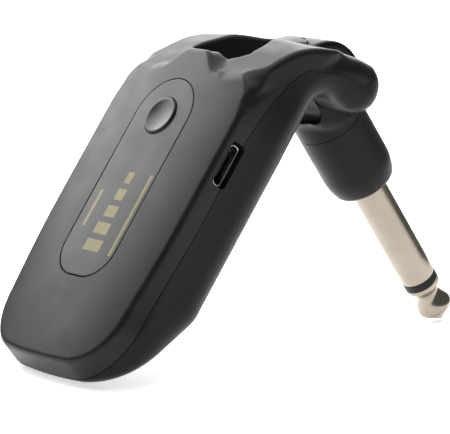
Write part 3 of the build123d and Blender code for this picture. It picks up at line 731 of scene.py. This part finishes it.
# ------------------------------------------------------------------ the plug arm's barrel
# The barrel has its own frame: x across, y away from the housing, z along the plug.
BARREL_R = 6.3
BARREL_MOUTH_R = 0.5
TAPER_START, TAPER_RATE = 18.4, 0.048
TAPER_SCALE = 0.96                    # keeps the tapered end's field close to a true distance
HUB_R = 7.4
HUB_HALF = 6.2
HUB_EDGE_R = 1.0
HUB_FILLET = 1.2
CHEEK_START, CHEEK_FLARE, CHEEK_EDGE_R = 4, 0.02, 0.4
NOTCH_FLOOR, NOTCH_END, NOTCH_SLOPE, NOTCH_R = -4.35, 4.1, 0.08, 1.6
BARREL_LOW, BARREL_HIGH = (-7.2, -8.1, -8.1), (7.2, 8.1, 23.4)
BARREL_STEP = 0.3
BARREL_PAST = 9.0                     # clear of the whole barrel
CAP_END, CAP_GAP = 9.0, 0.12          # where the cap's lip ends along the barrel, and the gap round it
LIP_TOP, LIP_LOW, LIP_GAP = 1.2, 7.4, 0.1
CAP_TOP = 0.1


def barrel_field(x, y, z):
    """The tapering barrel with its hub, notched on the housing's side."""
    radius = BARREL_R - TAPER_RATE * np.maximum(z - TAPER_START, 0) ** 2
    tube = (np.hypot(x, y) - radius) * TAPER_SCALE
    tube = round_and(tube, z - BARREL_END, BARREL_MOUTH_R)
    tube = np.maximum(tube, -z)
    drum = round_and(np.hypot(y, z) - HUB_R, np.abs(x) - HUB_HALF, HUB_EDGE_R)
    form = round_or(tube, drum, HUB_FILLET)
    cheek = np.abs(x) - HUB_HALF - CHEEK_FLARE * np.maximum(z - CHEEK_START, 0)
    form = round_and(form, cheek, CHEEK_EDGE_R)
    ledge = z - NOTCH_END + NOTCH_SLOPE * (y + BARREL_R)
    notch = round_and(y - NOTCH_FLOOR, ledge, NOTCH_R)
    return np.maximum(form, -notch)


def plug_frame():
    """The matrix from the barrel's own frame to the housing's."""
    axes = Matrix((Vector((1, 0, 0)), PLUG_OUT, PLUG_AXIS)).transposed()
    return Matrix.Translation(HINGE_POINT) @ axes.to_4x4()


def cap_side(gap=0.0, lip_gap=0.0):
    """The cap's side of the barrel's stepped seam, grown by a gap, or by another below its lip."""
    end, lip_top = CAP_END + gap, LIP_TOP + gap
    lip_low, top = LIP_LOW - lip_gap, CAP_TOP + gap
    return [(-BARREL_PAST, end), (lip_top, end), (lip_top, lip_low), (top, lip_low),
            (top, -BARREL_PAST), (-BARREL_PAST, -BARREL_PAST)]


def make_barrel():
    """The barrel's two mouldings, parted by a stepped seam on the housing's side."""
    shell = solid_from_field("barrel_body", barrel_field, BARREL_LOW, BARREL_HIGH, BARREL_STEP)
    cap = add_object("barrel_cap", shell.data.copy())
    boolean(cap, prism("keep_cap", cap_side(), -BARREL_PAST, BARREL_PAST), "INTERSECT")
    cut(shell, prism("cut_shell", cap_side(CAP_GAP, LIP_GAP), -BARREL_PAST, BARREL_PAST))
    for piece in (shell, cap):
        piece.data.transform(plug_frame())
    return finish_mesh(shell), finish_mesh(cap)


# ------------------------------------------------------------------ materials
MOTTLE_SCALE, MOTTLE_SHARE, WEAR = 260.0, 0.14, 0.05
GRAIN_SCALE, GRAIN_DEPTH = 3600.0, 0.00005
TARNISH_SCALE, TARNISH_SHARE = 240.0, 0.1
MARKS_STRENGTH, MARKS_DEPTH = 0.08, 0.00002


def new_material(name):
    """A material, with its tree, its shader and the object's own coordinates."""
    made = bpy.data.materials.new(name)
    made.use_nodes = True
    tree = made.node_tree
    place = tree.nodes.new("ShaderNodeTexCoord").outputs["Object"]
    return made, tree, tree.nodes["Principled BSDF"], place


def noise(tree, place, scale, detail, roughness=0.5):
    """Noise between 0 and 1 at the given coordinates."""
    node = tree.nodes.new("ShaderNodeTexNoise")
    node.inputs["Scale"].default_value = scale
    node.inputs["Detail"].default_value = detail
    node.inputs["Roughness"].default_value = roughness
    tree.links.new(place, node.inputs["Vector"])
    return node.outputs["Fac"]


def tint(tree, value, limits, colours):
    """A colour that goes from one to another as the value passes between two limits."""
    node = tree.nodes.new("ShaderNodeValToRGB")
    for element, position, colour in zip(node.color_ramp.elements, limits, colours):
        element.position = position
        element.color = (*colour, 1)
    tree.links.new(value, node.inputs["Fac"])
    return node.outputs["Color"]


def spread(tree, value, low, high):
    """The middle of the value's range, spread between two limits."""
    node = tree.nodes.new("ShaderNodeMapRange")
    limits = {"From Min": 0.3, "From Max": 0.7, "To Min": low, "To Max": high}
    for name, limit in limits.items():
        node.inputs[name].default_value = limit
    tree.links.new(value, node.inputs["Value"])
    return node.outputs["Result"]


def bumps(tree, height, strength, distance):
    """A surface normal roughened by the height."""
    node = tree.nodes.new("ShaderNodeBump")
    node.inputs["Strength"].default_value = strength
    node.inputs["Distance"].default_value = distance
    tree.links.new(height, node.inputs["Height"])
    return node.outputs["Normal"]


def shaded(colour, share):
    """A colour made darker or lighter by a share."""
    return [channel * share for channel in colour]


def plastic(name, colour, roughness, grain=0.5, specular=0.5):
    """Moulded plastic: fine spark-eroded grain, slight mottling and handling wear."""
    made, tree, shader, place = new_material(name)
    mottle = noise(tree, place, MOTTLE_SCALE, 5.0)
    fine = noise(tree, place, GRAIN_SCALE, 3.0, 0.65)
    colours = (shaded(colour, 1 - MOTTLE_SHARE), shaded(colour, 1 + MOTTLE_SHARE))
    looks = {
        "Base Color": tint(tree, mottle, (0.3, 0.7), colours),
        "Roughness": spread(tree, mottle, roughness - WEAR, roughness + WEAR),
        "Normal": bumps(tree, fine, grain, GRAIN_DEPTH),
    }
    shader.inputs["Specular IOR Level"].default_value = specular
    for socket, source in looks.items():
        tree.links.new(source, shader.inputs[socket])
    return made


def metal(name, colour, roughness, brush=(1.0, 1.0, 1.0), scale=1800.0):
    """Metal with fine tool marks along one direction and slight tarnish."""
    made, tree, shader, place = new_material(name)
    stretch = tree.nodes.new("ShaderNodeMapping")
    stretch.inputs["Scale"].default_value = brush
    tree.links.new(place, stretch.inputs["Vector"])
    marks = noise(tree, stretch.outputs["Vector"], scale, 3.0)
    tarnish = noise(tree, place, TARNISH_SCALE, 4.0)
    colours = (shaded(colour, 1 - TARNISH_SHARE), colour)
    looks = {
        "Base Color": tint(tree, tarnish, (0.35, 0.7), colours),
        "Roughness": spread(tree, tarnish, roughness * 0.8, roughness * 1.25),
        "Normal": bumps(tree, marks, MARKS_STRENGTH, MARKS_DEPTH),
    }
    shader.inputs["Metallic"].default_value = 1.0
    for socket, source in looks.items():
        tree.links.new(source, shader.inputs[socket])
    return made


def within(tree, value, middle, half):
    """1 where the value lies within half of the middle."""
    test = tree.nodes.new("ShaderNodeMath")
    test.operation = "COMPARE"
    tree.links.new(value, test.inputs[0])
    test.inputs[1].default_value = middle
    test.inputs[2].default_value = half
    return test.outputs[0]


def combine(tree, operation, first, second):
    """Two values multiplied or added, kept between 0 and 1."""
    node = tree.nodes.new("ShaderNodeMath")
    node.operation = operation
    node.use_clamp = True
    tree.links.new(first, node.inputs[0])
    tree.links.new(second, node.inputs[1])
    return node.outputs[0]


def housing_coordinates(tree):
    """The shaded point's x and z in the housing's frame, in millimetres."""
    place = tree.nodes.new("ShaderNodeTexCoord")
    body = tree.nodes.new("ShaderNodeMapping")
    level = Matrix.Rotation(-LEAN, 3, "X") @ HINGE_ROW
    body.inputs["Scale"].default_value = (1 / MM,) * 3
    body.inputs["Rotation"].default_value = (-LEAN, 0, 0)
    body.inputs["Location"].default_value = (0, HINGE[0] - level.y / MM, HINGE[1] - level.z / MM)
    parts = tree.nodes.new("ShaderNodeSeparateXYZ")
    tree.links.new(place.outputs["Object"], body.inputs["Vector"])
    tree.links.new(body.outputs["Vector"], parts.inputs["Vector"])
    return parts.outputs["X"], parts.outputs["Z"]


def print_bars(made, bars, colour):
    """Plain printed bars, each given as x, half width, z and half length in the housing's frame."""
    tree = made.node_tree
    across, along = housing_coordinates(tree)
    mask = None
    for x, half_wide, z, half_long in bars:
        bar = combine(tree, "MULTIPLY", within(tree, across, x, half_wide),
                      within(tree, along, z, half_long))
        mask = bar if mask is None else combine(tree, "ADD", mask, bar)
    shader = tree.nodes["Principled BSDF"]
    plain = shader.inputs["Base Color"].links[0].from_socket
    mix = tree.nodes.new("ShaderNodeMix")
    mix.data_type = "RGBA"
    tree.links.new(mask, mix.inputs["Factor"])
    tree.links.new(plain, mix.inputs["A"])
    mix.inputs["B"].default_value = (*colour, 1)
    tree.links.new(mix.outputs["Result"], shader.inputs["Base Color"])


# Each slot's colour and roughness, and for some the strength of the grain and of the highlights.
PLASTICS = {
    "cover_plastic": ((0.012, 0.012, 0.0115), 0.36, 0.5, 0.22),
    "body_plastic": ((0.008, 0.008, 0.007), 0.36, 0.45, 0.17),
    "panel_plastic": ((0.016, 0.016, 0.0165), 0.34, 0.12, 0.24),
    "button_plastic": ((0.016, 0.016, 0.0165), 0.30, 0.1, 0.27),
    "barrel_plastic": ((0.006, 0.006, 0.0058), 0.34, 0.35, 0.2),
    "insulator": ((0.006, 0.006, 0.006), 0.35, 0.1, 0.25),
    "adhesive": ((0.6, 0.58, 0.5), 0.6),
    "board": ((0.02, 0.12, 0.05), 0.35),
    "switch_plastic": ((0.03, 0.03, 0.03), 0.45),
    "chip_black": ((0.02, 0.02, 0.02), 0.5),
    "ceramic": ((0.5, 0.42, 0.3), 0.45),
    "ferrite": ((0.05, 0.05, 0.05), 0.6),
    "lens": ((0.8, 0.8, 0.76), 0.2),
    "port_plastic": ((0.006, 0.006, 0.006), 0.6),
    "bush_plastic": ((0.7, 0.7, 0.65), 0.45),
    "foam": ((0.03, 0.03, 0.03), 0.8),
    "wire_red": ((0.5, 0.02, 0.015), 0.4),
    "wire_black": ((0.012, 0.012, 0.012), 0.4),
    "wire_white": ((0.7, 0.7, 0.68), 0.4),
}
# Each slot's colour and roughness, and for some the stretch and the scale of the tool marks.
METALS = {
    "nickel_plate": ((0.40, 0.35, 0.29), 0.2, (1.0, 0.3, 0.3), 2600.0),
    "port_steel": ((0.62, 0.62, 0.61), 0.25, (0.2, 1.0, 1.0), 2400.0),
    "gold_plate": ((0.83, 0.62, 0.26), 0.3),
    "tinned_steel": ((0.66, 0.66, 0.64), 0.32),
    "bare_steel": ((0.58, 0.58, 0.57), 0.28),
    "screw_steel": ((0.10, 0.10, 0.10), 0.35),
    "battery_foil": ((0.72, 0.73, 0.75), 0.35),
}
MATERIALS = {name: plastic(name, *look) for name, look in PLASTICS.items()}
MATERIALS |= {name: metal(name, *look) for name, look in METALS.items()}

# A plain generic pattern: two long bars, and five short ones that narrow towards the button.
BAR_HALF = 0.35
STACK_X, STACK_LOW, STACK_PITCH = 0.7, 8.6, 3.2
STACK_HALF, STACK_NARROWING, STACK_HALF_HEIGHT = 2.2, 0.35, 1.05
PANEL_BARS = [(-4.6, BAR_HALF, 15.0, 3.4), (6.0, BAR_HALF, 15.0, 7.6)]
PANEL_BARS += [(STACK_X, STACK_HALF - STACK_NARROWING * i, STACK_LOW + STACK_PITCH * i, STACK_HALF_HEIGHT)
               for i in range(5)]
PRINT_COLOUR = (0.22, 0.185, 0.07)
print_bars(MATERIALS["panel_plastic"], PANEL_BARS, PRINT_COLOUR)


def dress(piece, slot_name):
    """Give a piece its slot's material."""
    piece.data.materials.clear()
    piece.data.materials.append(MATERIALS[slot_name])


def dress_cad_nodes():
    """Every CAD node that stays gets its slot's material."""
    slots = {row["node"]: row["material_slot"] for row in frame["record"]["subparts"]}
    for name, node in frame["nodes"].items():
        dress(node, slots[name])


def place_piece(piece, body, slot_name, *nodes):
    """Put a finished piece on its body, in place of the CAD nodes that it stands for."""
    dress(piece, slot_name)
    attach(piece, body)
    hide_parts(*nodes)


# ------------------------------------------------------------------ stage, light and camera
FLOOR_HALF = 3.0
LIGHT_TARGET = (0.0, 0.0, 0.025)
# Each soft light's direction from the object, distance, size and radiance, in metres.
LIGHTS = {
    "key": ((-0.83, -0.30, 0.66), 0.25, (0.20, 0.18), 5.6),
    "top": ((-0.1, 0.15, 1.0), 2.0, (2.2, 2.2), 1.7),
    "rim": ((-0.76, 0.55, 0.40), 0.9, (0.9, 0.55), 2.9),
}
CAMERA_PLACE = (398.4, -272.4, -85.4)            # the place and the three directions are in the
CAMERA_RIGHT = (0.6066, 0.6461, 0.4633)          # housing's frame, the place in millimetres
CAMERA_DOWN = (0.1262, 0.4971, -0.8584)
CAMERA_AHEAD = (-0.7850, 0.5792, 0.2200)


def stage_material():
    """A pale floor that gives a little light of its own."""
    made = bpy.data.materials.new("pale_floor")
    made.use_nodes = True
    shader = made.node_tree.nodes["Principled BSDF"]
    shader.inputs["Base Color"].default_value = (0.92, 0.92, 0.92, 1)
    shader.inputs["Roughness"].default_value = 0.6
    shader.inputs["Emission Color"].default_value = (1, 1, 1, 1)
    shader.inputs["Emission Strength"].default_value = 0.62
    return made


def make_floor():
    """The square floor that the object stands on."""
    corners = [(x * FLOOR_HALF, y * FLOOR_HALF, 0) for x, y in ((-1, -1), (1, -1), (1, 1), (-1, 1))]
    floor = mesh_object("floor", corners, [(0, 1, 2, 3)])
    floor.data.materials.append(stage_material())


def make_world():
    """A dim white surrounding."""
    bpy.context.scene.view_settings.view_transform = "Standard"
    world = bpy.data.worlds.new("studio")
    bpy.context.scene.world = world
    world.use_nodes = True
    background = world.node_tree.nodes["Background"]
    background.inputs["Color"].default_value = (1, 1, 1, 1)
    background.inputs["Strength"].default_value = 0.16


def make_light(name, towards, distance, size, radiance):
    """A soft rectangular light of the given radiance, seen from the object in one direction."""
    target = Vector(LIGHT_TARGET)
    place = target + Vector(towards).normalized() * distance
    data = bpy.data.lights.new(name, "AREA")
    data.shape = "RECTANGLE"
    data.size, data.size_y = size
    data.energy = radiance * math.pi * size[0] * size[1]
    light = add_object(name, data)
    light.location = place
    light.rotation_mode = "QUATERNION"
    light.rotation_quaternion = (target - place).to_track_quat("-Z", "Y")


def make_camera():
    """The camera, placed in the housing's frame."""
    data = bpy.data.cameras.new("camera")
    data.sensor_width = 36.0
    data.lens = 240.0
    data.clip_start, data.clip_end = 0.01, 20.0
    camera = add_object("camera", data)
    turn = TO_ROW.to_3x3().normalized()
    right, down, ahead = (turn @ Vector(v) for v in (CAMERA_RIGHT, CAMERA_DOWN, CAMERA_AHEAD))
    axes = Matrix((right, -down, -ahead)).transposed()
    camera.matrix_world = Matrix.Translation(TO_ROW @ Vector(CAMERA_PLACE)) @ axes.to_4x4()
    bpy.context.scene.camera = camera


# ------------------------------------------------------------------ putting it together
dress_cad_nodes()
cover_front, cover_rear = make_housing()
place_piece(cover_front, "housing", "cover_plastic", "front_cover")
place_piece(cover_rear, "housing", "body_plastic", "rear_cover")
place_piece(make_panel(), "housing", "panel_plastic", "control_panel")
place_piece(make_port_shell(), "housing", "port_steel", "usb_port_shell")
place_piece(make_button(), "power_button", "button_plastic", "power_button")
barrel_body, barrel_cap = make_barrel()
place_piece(barrel_body, "plug_arm", "barrel_plastic", "barrel_shell")
place_piece(barrel_cap, "plug_arm", "barrel_plastic", "barrel_cover")
plug_sleeve, plug_ring, plug_tip = make_plug()
place_piece(plug_sleeve, "plug_arm", "nickel_plate", "plug_sleeve")
place_piece(plug_ring, "plug_arm", "insulator", "plug_insulator")
place_piece(plug_tip, "plug_arm", "nickel_plate", "plug_tip")

make_floor()
make_world()
for light_name, look in LIGHTS.items():
    make_light(light_name, *look)
make_camera()
